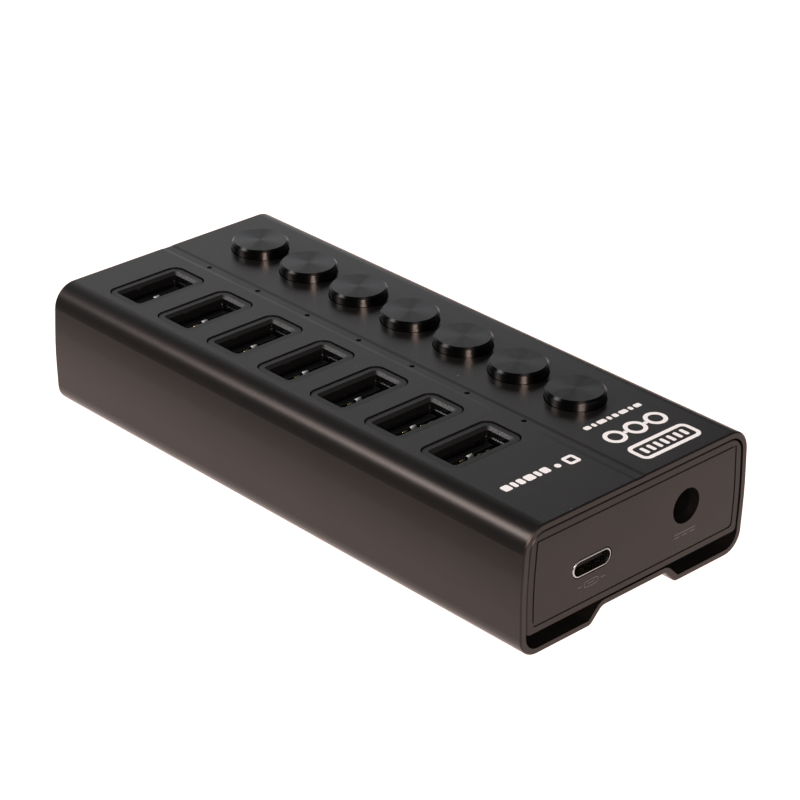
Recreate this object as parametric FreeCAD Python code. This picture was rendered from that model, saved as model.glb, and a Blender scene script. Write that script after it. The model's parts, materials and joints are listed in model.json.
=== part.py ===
"""A seven-port USB hub in an extruded aluminium case, with a push switch and an indicator for each port.

Frame, in millimetres: X runs along the case, with +X towards the end that holds the upstream and power
sockets. Y runs across it, with the ports on the -Y side and the buttons on the +Y side. Z is up. The origin
is under the middle of the case, in the plane that its two foot rails stand on.
"""

import FreeCAD, Part
import math
import os

# ---- driving dimensions ----
CASE_LENGTH = 118.3
CASE_HEIGHT = 23.6
WALL = 1.15
CASE_END_CHAMFER = 0.25

PORT_COUNT = 7
PITCH = 13.36
ROW_START_X = -46.95
PORT_Y = -12.38
BUTTON_Y = 12.17
INDICATOR_Y = -0.13

# case section: half-widths at the corners of its outline, and the radii that round them
TOP_CORNER_Y = 26.33
SIDE_CROWN_Y = 26.84
SIDE_CROWN_Z = 11.6
SIDE_CROWN_RADIUS = 80.0
TOP_CORNER_RADIUS = 4.4
FOOT_CORNER_RADIUS = 4.0
RAISED_FLOOR_Z = 2.65
RAMP_TOP_Y = 7.6
RAMP_TOP_RADIUS = 1.5
RAMP_FOOT_RADIUS = 1.6
GROOVE_HALF_WIDTH = 1.4
GROOVE_FLOOR_HALF_WIDTH = 0.7
GROOVE_DEPTH = 0.08
GROOVE_RADIUS = 0.4

# openings in the top of the case
PORT_CUTOUT_X = 9.2
PORT_CUTOUT_Y = 16.5
PORT_CUTOUT_RADIUS = 2.1
BUTTON_HOLE_DIAMETER = 10.8
INDICATOR_HOLE_DIAMETER = 1.0

# end plates
PLATE_GAP = 0.3
PLATE_THICKNESS = 1.8
PLATE_RECESS = 0.1
PLATE_BOTTOM_Z = 4.0
PLATE_BOTTOM_RADIUS = 0.9
PLATE_EDGE_CHAMFER = 0.15
ENGRAVED_INSET = 1.2
ENGRAVED_WIDTH = 0.35
ENGRAVED_DEPTH = 0.15
ENGRAVED_CORNER_RADIUS = 0.6
LUG_LENGTH = 4.0
LUG_WIDTH = 6.0
LUG_HEIGHT = 2.2
LUG_ABOVE_BOARD = 0.2
LUG_Y = 20.0

# board and tray
BOARD_TOP_Z = 8.0
BOARD_THICKNESS = 1.6
BOARD_HALF_WIDTH = 24.2
BOARD_END_GAP = 0.5
TRAY_BOTTOM_Z = 4.0
TRAY_THICKNESS = 1.2
TRAY_HALF_WIDTH = 24.6
POST_DIAMETER = 4.4
POST_XS = (-49.5, 0.2, 41.0)
POST_Y = 21.0
SCREW_DIAMETER = 2.0
SCREW_HOLE_DIAMETER = 2.2
SCREW_HEAD_DIAMETER = 3.8
SCREW_HEAD_HEIGHT = 1.3
SCREW_LENGTH = 3.8
SCREW_SLOT_WIDTH = 0.55
SCREW_SLOT_DEPTH = 0.6
SCREW_HOLE_FLOOR = 0.1

# port bezel, a moulded frame with a funnel that leads the plug in
BEZEL_GAP = 0.2
BEZEL_RECESS = 0.2
BEZEL_BOTTOM_Z = 21.8
BEZEL_FLANGE = 0.55
BEZEL_FLANGE_TOP_Z = 22.35
BEZEL_EDGE_RADIUS = 0.15
FUNNEL_TOP_X = 6.7
FUNNEL_TOP_Y = 13.9
FUNNEL_TOP_RADIUS = 0.8
FUNNEL_DEPTH = 0.45

# USB-A socket behind each bezel
SHELL_INSIDE_X = 5.12
SHELL_INSIDE_Y = 12.5
SHELL_THICKNESS = 0.3
SHELL_SLOT_Y = 2.2
SHELL_SLOT_BOTTOM_Z = 15.2
SHELL_SLOT_TOP_Z = 19.6
SHELL_SLOT_CENTRE_Y = 3.4
FUNNEL_FOOT_X = 5.3
FUNNEL_FOOT_Y = 12.7
TONGUE_THICKNESS = 1.84
TONGUE_WIDTH = 11.1
TONGUE_TOP_Z = 21.4
SOCKET_BASE_TOP_Z = 11.4
CONTACT_YS = (-3.5, -1.0, 1.0, 3.5)
CONTACT_WIDTH = 1.0
CONTACT_THICKNESS = 0.2
CONTACT_TOP_Z = 21.1

# push switch and its cap
CAP_DIAMETER = 10.5
CAP_RISE = 1.85
CAP_EDGE = 0.38
CAP_BOTTOM_Z = 20.6
STEM_SIDE = 3.0
STEM_SOCKET_DEPTH = 3.0
STEM_GUIDE_CLEARANCE = 0.1
STEM_BOTTOM_Z = 13.6
SWITCH_SIDE = 8.5
SWITCH_TOP_Z = 17.0
SWITCH_FLOOR_Z = 11.4
SWITCH_CHAMFER = 0.5
SPRING_INNER_RADIUS = 2.7
SPRING_THICKNESS = 0.35
SPRING_PLEAT_DEPTH = 0.3
SPRING_PLEATS = 4

# indicators
LED_X = 2.0
LED_Y = 1.25
LED_HEIGHT = 0.8
LIGHT_BAR_BOTTOM_Z = 19.4
LIGHT_BAR_TOP_Z = 21.4
LIGHT_BAR_HALF_WIDTH = 1.1
LIGHT_LEG_DIAMETER = 1.8
LIGHT_PIN_DIAMETER = 0.86
LIGHT_PIN_TOP_Z = 22.4
LIGHT_BAR_OVERHANG = 2.0
LIGHT_LEG_GAP = 0.2

# upstream USB-C socket
USBC_Y = -10.58
USBC_Z = 11.9
USBC_WIDTH = 8.94
USBC_HEIGHT = 3.26
USBC_SHELL_THICKNESS = 0.3
USBC_EDGE_RADIUS = 0.24
USBC_DEPTH = 7.4
USBC_PROUD = 0.05
USBC_HOLE_GAP = 0.12
USBC_TONGUE_WIDTH = 6.69
USBC_TONGUE_THICKNESS = 0.7
USBC_TONGUE_LENGTH = 5.4
USBC_BACK_THICKNESS = 0.9
USBC_RISER_WIDTH = 9.6
USBC_END_FLAT = 0.001

# DC power socket
DC_Y = 11.77
DC_Z = 13.85
DC_HOLE_DIAMETER = 6.4
DC_BODY_WIDTH = 9.0
DC_BODY_LENGTH = 13.0
DC_BODY_TOP_Z = 18.9
DC_FRONT_GAP = 0.1
DC_BORE_DIAMETER = 5.9
DC_BORE_DEPTH = 9.6
DC_PIN_DIAMETER = 2.0
DC_PIN_TIP_BEHIND_FACE = 2.0

# parts on the board: (x, y, size x, size y, height) of each chip, and (x, y) of each capacitor
CHIP_PLACES = ((43.5, -9.0, 8.0, 8.0, 0.9), (43.5, 1.0, 6.0, 6.0, 0.9), (-54.0, -12.0, 3.5, 5.0, 1.2))
CHIP_CORNER_RADIUS = 0.2
CAPACITOR_PLACES = ((50.5, -1.5), (50.5, 4.0), (-54.0, 0.0))
CAPACITOR_DIAMETER = 4.0
CAPACITOR_HEIGHT = 5.4
CAPACITOR_EDGE_RADIUS = 0.35

# lengths below this count as none
TINY = 1e-6

# values worked out from the dimensions above
HALF_LENGTH = CASE_LENGTH / 2
FACE_X = HALF_LENGTH - PLATE_RECESS
PLATE_INNER_X = FACE_X - PLATE_THICKNESS
BOARD_BOTTOM_Z = BOARD_TOP_Z - BOARD_THICKNESS
BOARD_END_X = PLATE_INNER_X - BOARD_END_GAP
LUG_BOTTOM_Z = BOARD_TOP_Z + LUG_ABOVE_BOARD
CAP_TOP_Z = CASE_HEIGHT + CAP_RISE
BEZEL_TOP_Z = CASE_HEIGHT - BEZEL_RECESS
SHELL_TOP_Z = BEZEL_BOTTOM_Z
DC_FRONT_X = PLATE_INNER_X - DC_FRONT_GAP
ROW_XS = [ROW_START_X + PITCH * i for i in range(PORT_COUNT)]


# ---- outline and solid helpers ----
def vector(x, y, z):
    return FreeCAD.Vector(x, y, z)


def box(low, high):
    """A block between two opposite corners."""
    size = [high[i] - low[i] for i in range(3)]
    return Part.makeBox(*size, vector(*low))


def cylinder(radius, bottom, height, direction=(0, 0, 1)):
    return Part.makeCylinder(radius, height, vector(*bottom), vector(*direction))


def rounded_wire(corners):
    """A closed wire through the corner points, each corner rounded by a tangent arc of its own radius.

    corners is a list of (point, radius), in order. A radius of 0 leaves the corner sharp.
    """
    count = len(corners)
    starts, middles, ends = [], [], []
    for i in range(count):
        point, radius = corners[i]
        before = corners[i - 1][0]
        after = corners[(i + 1) % count][0]
        towards_before = (before - point).normalize()
        towards_after = (after - point).normalize()
        half_corner = towards_before.getAngle(towards_after) / 2
        setback = radius / math.tan(half_corner)
        bisector = (towards_before + towards_after).normalize()
        centre_distance = radius / math.sin(half_corner)
        starts.append(point + towards_before * setback)
        ends.append(point + towards_after * setback)
        middles.append(point + bisector * (centre_distance - radius))
    edges = []
    for i in range(count):
        if corners[i][1] > 0:
            edges.append(Part.Arc(starts[i], middles[i], ends[i]).toShape())
        following = starts[(i + 1) % count]
        if (following - ends[i]).Length > TINY:
            edges.append(Part.LineSegment(ends[i], following).toShape())
    return Part.Wire(edges)


def rectangle_wire(centre, width_x, width_y, radius):
    """A rounded rectangle in a horizontal plane."""
    corners = []
    for sign_x, sign_y in ((1, 1), (-1, 1), (-1, -1), (1, -1)):
        point = centre + vector(sign_x * width_x / 2, sign_y * width_y / 2, 0)
        corners.append((point, radius))
    return rounded_wire(corners)


def rounded_block(centre, width_x, width_y, height, radius):
    """An upright block with rounded vertical edges. centre is the middle of its underside."""
    wire = rectangle_wire(centre, width_x, width_y, radius)
    return Part.Face(wire).extrude(vector(0, 0, height))


def along_x(wire, length):
    return Part.Face(wire).extrude(vector(length, 0, 0))


def fuse_all(solids):
    return solids[0].multiFuse(solids[1:]).removeSplitter()


def solids_only(shapes):
    """Group separate solids, so that they are exported as one node."""
    solids = []
    for shape in shapes:
        solids.extend(shape.Solids)
    return Part.makeCompound(solids)


def save(name, shape):
    bad = [solid for solid in shape.Solids if not solid.isValid()]
    if not shape.Solids or bad:
        raise ValueError(f"{name} is not a valid solid")
    shape.exportStep(f"parts/{name}.step")
    print(f"{name}: {len(shape.Solids)} solid(s), {shape.Volume:.1f} mm3")


# ---- case ----
def side_corners(x, inset, sign):
    """The corners of the case outline on one side, from the top corner down, moved in by inset."""
    crown_radius = SIDE_CROWN_RADIUS - inset
    return [
        (vector(x, sign * (TOP_CORNER_Y - inset), CASE_HEIGHT - inset), TOP_CORNER_RADIUS - inset),
        (vector(x, sign * (SIDE_CROWN_Y - inset), SIDE_CROWN_Z), crown_radius),
    ]


def foot_corners(x, inset, sign):
    """The corners of one foot rail, from the outside in, moved in by inset."""
    ramp_shift = inset * math.sqrt(2)
    ramp_top_y = RAMP_TOP_Y + ramp_shift - inset
    ramp_foot_y = RAMP_TOP_Y + RAISED_FLOOR_Z + ramp_shift - inset
    return [
        (vector(x, sign * (TOP_CORNER_Y - inset), inset), FOOT_CORNER_RADIUS - inset),
        (vector(x, sign * ramp_foot_y, inset), RAMP_FOOT_RADIUS - inset),
        (vector(x, sign * ramp_top_y, RAISED_FLOOR_Z + inset), RAMP_TOP_RADIUS + inset),
    ]


def case_outline(x, inset, groove):
    """The case section, moved in by inset, with or without the groove along the top."""
    right = side_corners(x, inset, 1) + foot_corners(x, inset, 1)
    left = side_corners(x, inset, -1) + foot_corners(x, inset, -1)
    corners = right + left[::-1]
    if groove:
        for half_width, drop in ((-GROOVE_HALF_WIDTH, 0), (-GROOVE_FLOOR_HALF_WIDTH, GROOVE_DEPTH),
                                 (GROOVE_FLOOR_HALF_WIDTH, GROOVE_DEPTH), (GROOVE_HALF_WIDTH, 0)):
            corners.append((vector(x, INDICATOR_Y + half_width, CASE_HEIGHT - drop), GROOVE_RADIUS))
    return rounded_wire(corners)


def chamfered_case_bar():
    """The outside of the case, full length, with its two end edges chamfered."""
    bar = along_x(case_outline(-HALF_LENGTH, 0, True), CASE_LENGTH)
    end_edges = []
    for edge in bar.Edges:
        box_of_edge = edge.BoundBox
        if box_of_edge.XLength < TINY:
            end_edges.append(edge)
    return bar.makeChamfer(CASE_END_CHAMFER, end_edges)


def case_sleeve():
    sleeve = chamfered_case_bar()
    cavity = along_x(case_outline(-HALF_LENGTH - 1, WALL, False), CASE_LENGTH + 2)
    cutters = [cavity]
    floor_of_cut = CASE_HEIGHT - 2 * WALL
    for x in ROW_XS:
        port_foot = vector(x, PORT_Y, floor_of_cut)
        indicator_foot = (x, INDICATOR_Y, floor_of_cut)
        button_foot = (x, BUTTON_Y, floor_of_cut)
        cutters.append(rounded_block(port_foot, PORT_CUTOUT_X, PORT_CUTOUT_Y, 3 * WALL, PORT_CUTOUT_RADIUS))
        cutters.append(cylinder(INDICATOR_HOLE_DIAMETER / 2, indicator_foot, 3 * WALL))
        cutters.append(cylinder(BUTTON_HOLE_DIAMETER / 2, button_foot, 3 * WALL))
    return sleeve.cut(cutters)


# ---- end plates ----
def plate_outline(x, inset, top_radius):
    """The end plate's outline, moved in by inset from the plate's own edge."""
    depth = WALL + PLATE_GAP + inset
    sides = []
    for sign in (1, -1):
        top_corner, crown = side_corners(x, depth, sign)
        sides.append([(top_corner[0], top_radius), crown])
    bottom_z = PLATE_BOTTOM_Z + inset
    side_slope = (SIDE_CROWN_Y - TOP_CORNER_Y) / SIDE_CROWN_Z
    bottom_y = TOP_CORNER_Y + side_slope * bottom_z - depth
    bottom = [(vector(x, sign * bottom_y, bottom_z), PLATE_BOTTOM_RADIUS) for sign in (1, -1)]
    return rounded_wire(sides[0] + bottom + sides[1][::-1])


def end_plate(outward):
    """A plate that closes one end, with an engraved line round its face. outward is 1 or -1 along X."""
    face_x = outward * FACE_X
    plate_radius = TOP_CORNER_RADIUS - WALL - PLATE_GAP
    plate = along_x(plate_outline(face_x, 0, plate_radius), -outward * PLATE_THICKNESS)
    face_edges = [edge for edge in plate.Edges if abs(edge.BoundBox.XMax - face_x) < TINY
                  and edge.BoundBox.XLength < TINY]
    plate = plate.makeChamfer(PLATE_EDGE_CHAMFER, face_edges)
    line_depth = -outward * ENGRAVED_DEPTH
    outer = along_x(plate_outline(face_x, ENGRAVED_INSET, ENGRAVED_CORNER_RADIUS), line_depth)
    inner_wire = plate_outline(face_x, ENGRAVED_INSET + ENGRAVED_WIDTH, ENGRAVED_CORNER_RADIUS / 2)
    inner = along_x(inner_wire, line_depth)
    plate = plate.cut(outer.cut(inner))
    inner_x = outward * PLATE_INNER_X
    far_x = inner_x - outward * LUG_LENGTH
    lugs = []
    for sign in (-1, 1):
        low = (min(inner_x, far_x), sign * LUG_Y - LUG_WIDTH / 2, LUG_BOTTOM_Z)
        high = (max(inner_x, far_x), sign * LUG_Y + LUG_WIDTH / 2, LUG_BOTTOM_Z + LUG_HEIGHT)
        lugs.append(box(low, high))
    return fuse_all([plate] + lugs)


def stadium_wire(x, width, height):
    """The round-ended outline of the USB-C socket, across X."""
    radius = height / 2 - USBC_END_FLAT
    corners = []
    for sign_y, sign_z in ((1, 1), (-1, 1), (-1, -1), (1, -1)):
        point = vector(x, USBC_Y + sign_y * width / 2, USBC_Z + sign_z * height / 2)
        corners.append((point, radius))
    return rounded_wire(corners)


def socket_end_plate():
    plate = end_plate(1)
    hole_width = USBC_WIDTH + 2 * USBC_HOLE_GAP
    hole_height = USBC_HEIGHT + 2 * USBC_HOLE_GAP
    start_x = PLATE_INNER_X - 1
    usbc_hole = along_x(stadium_wire(start_x, hole_width, hole_height), PLATE_THICKNESS + 2)
    dc_hole = cylinder(DC_HOLE_DIAMETER / 2, (start_x, DC_Y, DC_Z), PLATE_THICKNESS + 2, (1, 0, 0))
    return plate.cut([usbc_hole, dc_hole])


# ---- tray, board and screws ----
def post_places():
    return [(x, sign * POST_Y) for x in POST_XS for sign in (-1, 1)]


def board_tray():
    end_x = BOARD_END_X
    floor_top_z = TRAY_BOTTOM_Z + TRAY_THICKNESS
    floor = box((-end_x, -TRAY_HALF_WIDTH, TRAY_BOTTOM_Z), (end_x, TRAY_HALF_WIDTH, floor_top_z))
    pieces = [floor]
    for sign in (-1, 1):
        edge_y = sign * TRAY_HALF_WIDTH
        inner_y = edge_y - sign * TRAY_THICKNESS
        low = (-end_x, min(edge_y, inner_y), floor_top_z)
        high = (end_x, max(edge_y, inner_y), BOARD_BOTTOM_Z)
        pieces.append(box(low, high))
    post_height = BOARD_BOTTOM_Z - floor_top_z
    for x, y in post_places():
        pieces.append(cylinder(POST_DIAMETER / 2, (x, y, floor_top_z), post_height))
    tray = fuse_all(pieces)
    holes = []
    for x, y in post_places():
        holes.append(cylinder(SCREW_DIAMETER / 2, (x, y, TRAY_BOTTOM_Z + SCREW_HOLE_FLOOR), BOARD_BOTTOM_Z))
    return tray.cut(holes)


def main_board():
    low = (-BOARD_END_X, -BOARD_HALF_WIDTH, BOARD_BOTTOM_Z)
    high = (BOARD_END_X, BOARD_HALF_WIDTH, BOARD_TOP_Z)
    board = box(low, high)
    holes = []
    for x, y in post_places():
        holes.append(cylinder(SCREW_HOLE_DIAMETER / 2, (x, y, BOARD_BOTTOM_Z - 1), BOARD_THICKNESS + 2))
    return board.cut(holes)


def board_screw(x, y):
    shank = cylinder(SCREW_DIAMETER / 2, (x, y, BOARD_TOP_Z - SCREW_LENGTH), SCREW_LENGTH)
    head = cylinder(SCREW_HEAD_DIAMETER / 2, (x, y, BOARD_TOP_Z), SCREW_HEAD_HEIGHT)
    head_top_z = BOARD_TOP_Z + SCREW_HEAD_HEIGHT
    half_slot = SCREW_SLOT_WIDTH / 2
    reach = SCREW_HEAD_DIAMETER / 3
    slots = []
    for half_x, half_y in ((reach, half_slot), (half_slot, reach)):
        low = (x - half_x, y - half_y, head_top_z - SCREW_SLOT_DEPTH)
        high = (x + half_x, y + half_y, head_top_z + 1)
        slots.append(box(low, high))
    return fuse_all([shank, head]).cut(slots)


def board_screws():
    return solids_only([board_screw(x, y) for x, y in post_places()])


# ---- downstream ports ----
def port_bezel(x):
    """A frame that fills the cutout in the case and leads the plug into the socket."""
    collar_x = PORT_CUTOUT_X - 2 * BEZEL_GAP
    collar_y = PORT_CUTOUT_Y - 2 * BEZEL_GAP
    collar_radius = PORT_CUTOUT_RADIUS - BEZEL_GAP
    foot = vector(x, PORT_Y, BEZEL_BOTTOM_Z)
    collar_height = BEZEL_TOP_Z - BEZEL_BOTTOM_Z
    collar = rounded_block(foot, collar_x, collar_y, collar_height, collar_radius)
    top_edges = [edge for edge in collar.Edges if edge.BoundBox.ZMin > BEZEL_TOP_Z - TINY]
    collar = collar.makeFillet(BEZEL_EDGE_RADIUS, top_edges)
    flange_height = BEZEL_FLANGE_TOP_Z - BEZEL_BOTTOM_Z
    flange = rounded_block(foot, collar_x + 2 * BEZEL_FLANGE, collar_y + 2 * BEZEL_FLANGE,
                           flange_height, collar_radius + BEZEL_FLANGE)
    top = vector(x, PORT_Y, BEZEL_TOP_Z)
    funnel_foot = top - vector(0, 0, FUNNEL_DEPTH)
    wide = rectangle_wire(top, FUNNEL_TOP_X, FUNNEL_TOP_Y, FUNNEL_TOP_RADIUS)
    narrow = rectangle_wire(funnel_foot, FUNNEL_FOOT_X, FUNNEL_FOOT_Y, FUNNEL_TOP_RADIUS / 2)
    funnel = Part.makeLoft([wide, narrow], True, True)
    throat = rounded_block(foot - vector(0, 0, 1), FUNNEL_FOOT_X, FUNNEL_FOOT_Y,
                           collar_height - FUNNEL_DEPTH + 1, FUNNEL_TOP_RADIUS / 2)
    return fuse_all([collar, flange]).cut([funnel, throat])


def usb_a_shell(x):
    """The folded steel shell of one socket, with a slot for each of its four spring fingers."""
    foot = vector(x, PORT_Y, BOARD_TOP_Z)
    height = SHELL_TOP_Z - BOARD_TOP_Z
    outside_x = SHELL_INSIDE_X + 2 * SHELL_THICKNESS
    outside_y = SHELL_INSIDE_Y + 2 * SHELL_THICKNESS
    shell = rounded_block(foot, outside_x, outside_y, height, 2 * SHELL_THICKNESS)
    below = foot - vector(0, 0, 1)
    hollow = rounded_block(below, SHELL_INSIDE_X, SHELL_INSIDE_Y, height + 2, SHELL_THICKNESS)
    slots = []
    for sign in (-1, 1):
        centre_y = PORT_Y + sign * SHELL_SLOT_CENTRE_Y
        low = (x - outside_x, centre_y - SHELL_SLOT_Y / 2, SHELL_SLOT_BOTTOM_Z)
        high = (x + outside_x, centre_y + SHELL_SLOT_Y / 2, SHELL_SLOT_TOP_Z)
        slots.append(box(low, high))
    return shell.cut([hollow] + slots)


def usb_a_tongue(x):
    """The moulded base and tongue of one socket. The tongue's contact face is in its middle plane."""
    half_x = SHELL_INSIDE_X / 2
    half_y = SHELL_INSIDE_Y / 2
    base = rounded_block(vector(x, PORT_Y, BOARD_TOP_Z), 2 * half_x, 2 * half_y,
                         SOCKET_BASE_TOP_Z - BOARD_TOP_Z, SHELL_THICKNESS)
    tongue = box((x - TONGUE_THICKNESS, PORT_Y - TONGUE_WIDTH / 2, SOCKET_BASE_TOP_Z),
                 (x, PORT_Y + TONGUE_WIDTH / 2, TONGUE_TOP_Z))
    tip_edges = [edge for edge in tongue.Edges if edge.BoundBox.ZMin > TONGUE_TOP_Z - TINY]
    tongue = tongue.makeChamfer(CONTACT_THICKNESS, tip_edges)
    return fuse_all([base, tongue])


def usb_a_tongues():
    return solids_only([usb_a_tongue(x) for x in ROW_XS])


def usb_a_contacts():
    strips = []
    for x in ROW_XS:
        for contact_y in CONTACT_YS:
            centre_y = PORT_Y + contact_y
            low = (x, centre_y - CONTACT_WIDTH / 2, SOCKET_BASE_TOP_Z)
            high = (x + CONTACT_THICKNESS, centre_y + CONTACT_WIDTH / 2, CONTACT_TOP_Z)
            strips.append(box(low, high))
    return solids_only(strips)


# ---- push switches ----
def button_cap(x):
    """A turned metal cap with a chamfered rim and a socket for the stem."""
    radius = CAP_DIAMETER / 2
    cap = cylinder(radius, (x, BUTTON_Y, CAP_BOTTOM_Z), CAP_TOP_Z - CAP_BOTTOM_Z)
    rim = [edge for edge in cap.Edges if edge.BoundBox.ZMin > CAP_TOP_Z - TINY]
    cap = cap.makeChamfer(CAP_EDGE, rim)
    half = STEM_SIDE / 2
    socket = box((x - half, BUTTON_Y - half, CAP_BOTTOM_Z - 1),
                 (x + half, BUTTON_Y + half, CAP_BOTTOM_Z + STEM_SOCKET_DEPTH))
    return cap.cut(socket)


def switch_plunger(x):
    half = STEM_SIDE / 2
    top_z = CAP_BOTTOM_Z + STEM_SOCKET_DEPTH
    return box((x - half, BUTTON_Y - half, STEM_BOTTOM_Z), (x + half, BUTTON_Y + half, top_z))


def switch_body(x):
    """The square housing of a latching push switch, with a guide for its plunger."""
    half = SWITCH_SIDE / 2
    body = box((x - half, BUTTON_Y - half, BOARD_TOP_Z), (x + half, BUTTON_Y + half, SWITCH_TOP_Z))
    top_edges = [edge for edge in body.Edges if edge.BoundBox.ZMin > SWITCH_TOP_Z - TINY]
    body = body.makeChamfer(SWITCH_CHAMFER, top_edges)
    guide_half = STEM_SIDE / 2 + STEM_GUIDE_CLEARANCE
    guide = box((x - guide_half, BUTTON_Y - guide_half, SWITCH_FLOOR_Z),
                (x + guide_half, BUTTON_Y + guide_half, SWITCH_TOP_Z + 1))
    return body.cut(guide)


def switch_spring(x):
    """The return spring round the stem: a pleated tube, as tall and as wide as the coil it stands for."""
    pleat_height = (CAP_BOTTOM_Z - SWITCH_TOP_Z) / (2 * SPRING_PLEATS)
    inner_side = []
    for i in range(2 * SPRING_PLEATS + 1):
        radius = SPRING_INNER_RADIUS + (i % 2) * SPRING_PLEAT_DEPTH
        inner_side.append(vector(x + radius, BUTTON_Y, SWITCH_TOP_Z + i * pleat_height))
    outer_side = [point + vector(SPRING_THICKNESS, 0, 0) for point in inner_side]
    profile = Part.makePolygon(inner_side + outer_side[::-1] + inner_side[:1])
    return Part.Face(profile).revolve(vector(x, BUTTON_Y, 0), vector(0, 0, 1), 360)


# ---- indicators ----
def indicator_leds():
    leds = []
    for x in ROW_XS:
        low = (x - LED_X / 2, INDICATOR_Y - LED_Y / 2, BOARD_TOP_Z)
        high = (x + LED_X / 2, INDICATOR_Y + LED_Y / 2, BOARD_TOP_Z + LED_HEIGHT)
        leds.append(box(low, high))
    return solids_only(leds)


def light_pipe_strip():
    """A clear bar under the groove, with a leg above each lamp and a pin in each indicator hole."""
    low = (ROW_XS[0] - LIGHT_BAR_OVERHANG, INDICATOR_Y - LIGHT_BAR_HALF_WIDTH, LIGHT_BAR_BOTTOM_Z)
    high = (ROW_XS[-1] + LIGHT_BAR_OVERHANG, INDICATOR_Y + LIGHT_BAR_HALF_WIDTH, LIGHT_BAR_TOP_Z)
    pieces = [box(low, high)]
    leg_foot_z = BOARD_TOP_Z + LED_HEIGHT + LIGHT_LEG_GAP
    for x in ROW_XS:
        leg_foot = (x, INDICATOR_Y, leg_foot_z)
        pieces.append(cylinder(LIGHT_LEG_DIAMETER / 2, leg_foot, LIGHT_BAR_TOP_Z - leg_foot_z))
        pin_foot = (x, INDICATOR_Y, LIGHT_BAR_BOTTOM_Z)
        pieces.append(cylinder(LIGHT_PIN_DIAMETER / 2, pin_foot, LIGHT_PIN_TOP_Z - LIGHT_BAR_BOTTOM_Z))
    return fuse_all(pieces)


# ---- upstream socket ----
def usb_c_shell():
    mouth_x = FACE_X + USBC_PROUD
    back_x = mouth_x - USBC_DEPTH
    outside = along_x(stadium_wire(back_x, USBC_WIDTH, USBC_HEIGHT), USBC_DEPTH)
    mouth_edges = [edge for edge in outside.Edges if edge.BoundBox.XMin > mouth_x - TINY]
    outside = outside.makeFillet(USBC_EDGE_RADIUS, mouth_edges)
    inside_width = USBC_WIDTH - 2 * USBC_SHELL_THICKNESS
    inside_height = USBC_HEIGHT - 2 * USBC_SHELL_THICKNESS
    inside = along_x(stadium_wire(back_x - 1, inside_width, inside_height), USBC_DEPTH + 2)
    return outside.cut(inside)


def usb_c_tongue():
    """The insulating back and tongue inside the USB-C shell."""
    back_x = FACE_X + USBC_PROUD - USBC_DEPTH
    inside_width = USBC_WIDTH - 2 * USBC_SHELL_THICKNESS
    inside_height = USBC_HEIGHT - 2 * USBC_SHELL_THICKNESS
    back = along_x(stadium_wire(back_x, inside_width, inside_height), USBC_BACK_THICKNESS)
    half_width = USBC_TONGUE_WIDTH / 2
    half_thickness = USBC_TONGUE_THICKNESS / 2
    start_x = back_x + USBC_BACK_THICKNESS
    tongue = box((start_x, USBC_Y - half_width, USBC_Z - half_thickness),
                 (start_x + USBC_TONGUE_LENGTH, USBC_Y + half_width, USBC_Z + half_thickness))
    return fuse_all([back, tongue])


def usb_c_riser():
    """The block that holds the USB-C socket at the height of its hole."""
    back_x = FACE_X + USBC_PROUD - USBC_DEPTH
    half_width = USBC_RISER_WIDTH / 2
    top_z = USBC_Z - USBC_HEIGHT / 2
    return box((back_x, USBC_Y - half_width, BOARD_TOP_Z), (BOARD_END_X, USBC_Y + half_width, top_z))


# ---- power socket ----
def dc_jack_body():
    half_width = DC_BODY_WIDTH / 2
    body = box((DC_FRONT_X - DC_BODY_LENGTH, DC_Y - half_width, BOARD_TOP_Z),
               (DC_FRONT_X, DC_Y + half_width, DC_BODY_TOP_Z))
    bore_foot = (DC_FRONT_X - DC_BORE_DEPTH, DC_Y, DC_Z)
    return body.cut(cylinder(DC_BORE_DIAMETER / 2, bore_foot, DC_BORE_DEPTH + 1, (1, 0, 0)))


def dc_jack_pin():
    foot_x = DC_FRONT_X - DC_BORE_DEPTH
    length = DC_BORE_DEPTH - DC_PIN_TIP_BEHIND_FACE
    pin = cylinder(DC_PIN_DIAMETER / 2, (foot_x, DC_Y, DC_Z), length, (1, 0, 0))
    tip = [edge for edge in pin.Edges if edge.BoundBox.XMin > foot_x + length - TINY]
    return pin.makeFillet(DC_PIN_DIAMETER / 4, tip)


# ---- parts on the board ----
def hub_chips():
    """Two hub controllers near the sockets and a power converter at the far end."""
    chips = []
    for x, y, size_x, size_y, height in CHIP_PLACES:
        chips.append(rounded_block(vector(x, y, BOARD_TOP_Z), size_x, size_y, height, CHIP_CORNER_RADIUS))
    return solids_only(chips)


def capacitors():
    """Round electrolytic capacitors, two by the power socket and one at the far end."""
    cans = []
    for x, y in CAPACITOR_PLACES:
        can = cylinder(CAPACITOR_DIAMETER / 2, (x, y, BOARD_TOP_Z), CAPACITOR_HEIGHT)
        can_top_z = BOARD_TOP_Z + CAPACITOR_HEIGHT
        rim = [edge for edge in can.Edges if edge.BoundBox.ZMin > can_top_z - TINY]
        cans.append(can.makeFillet(CAPACITOR_EDGE_RADIUS, rim))
    return solids_only(cans)


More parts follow.
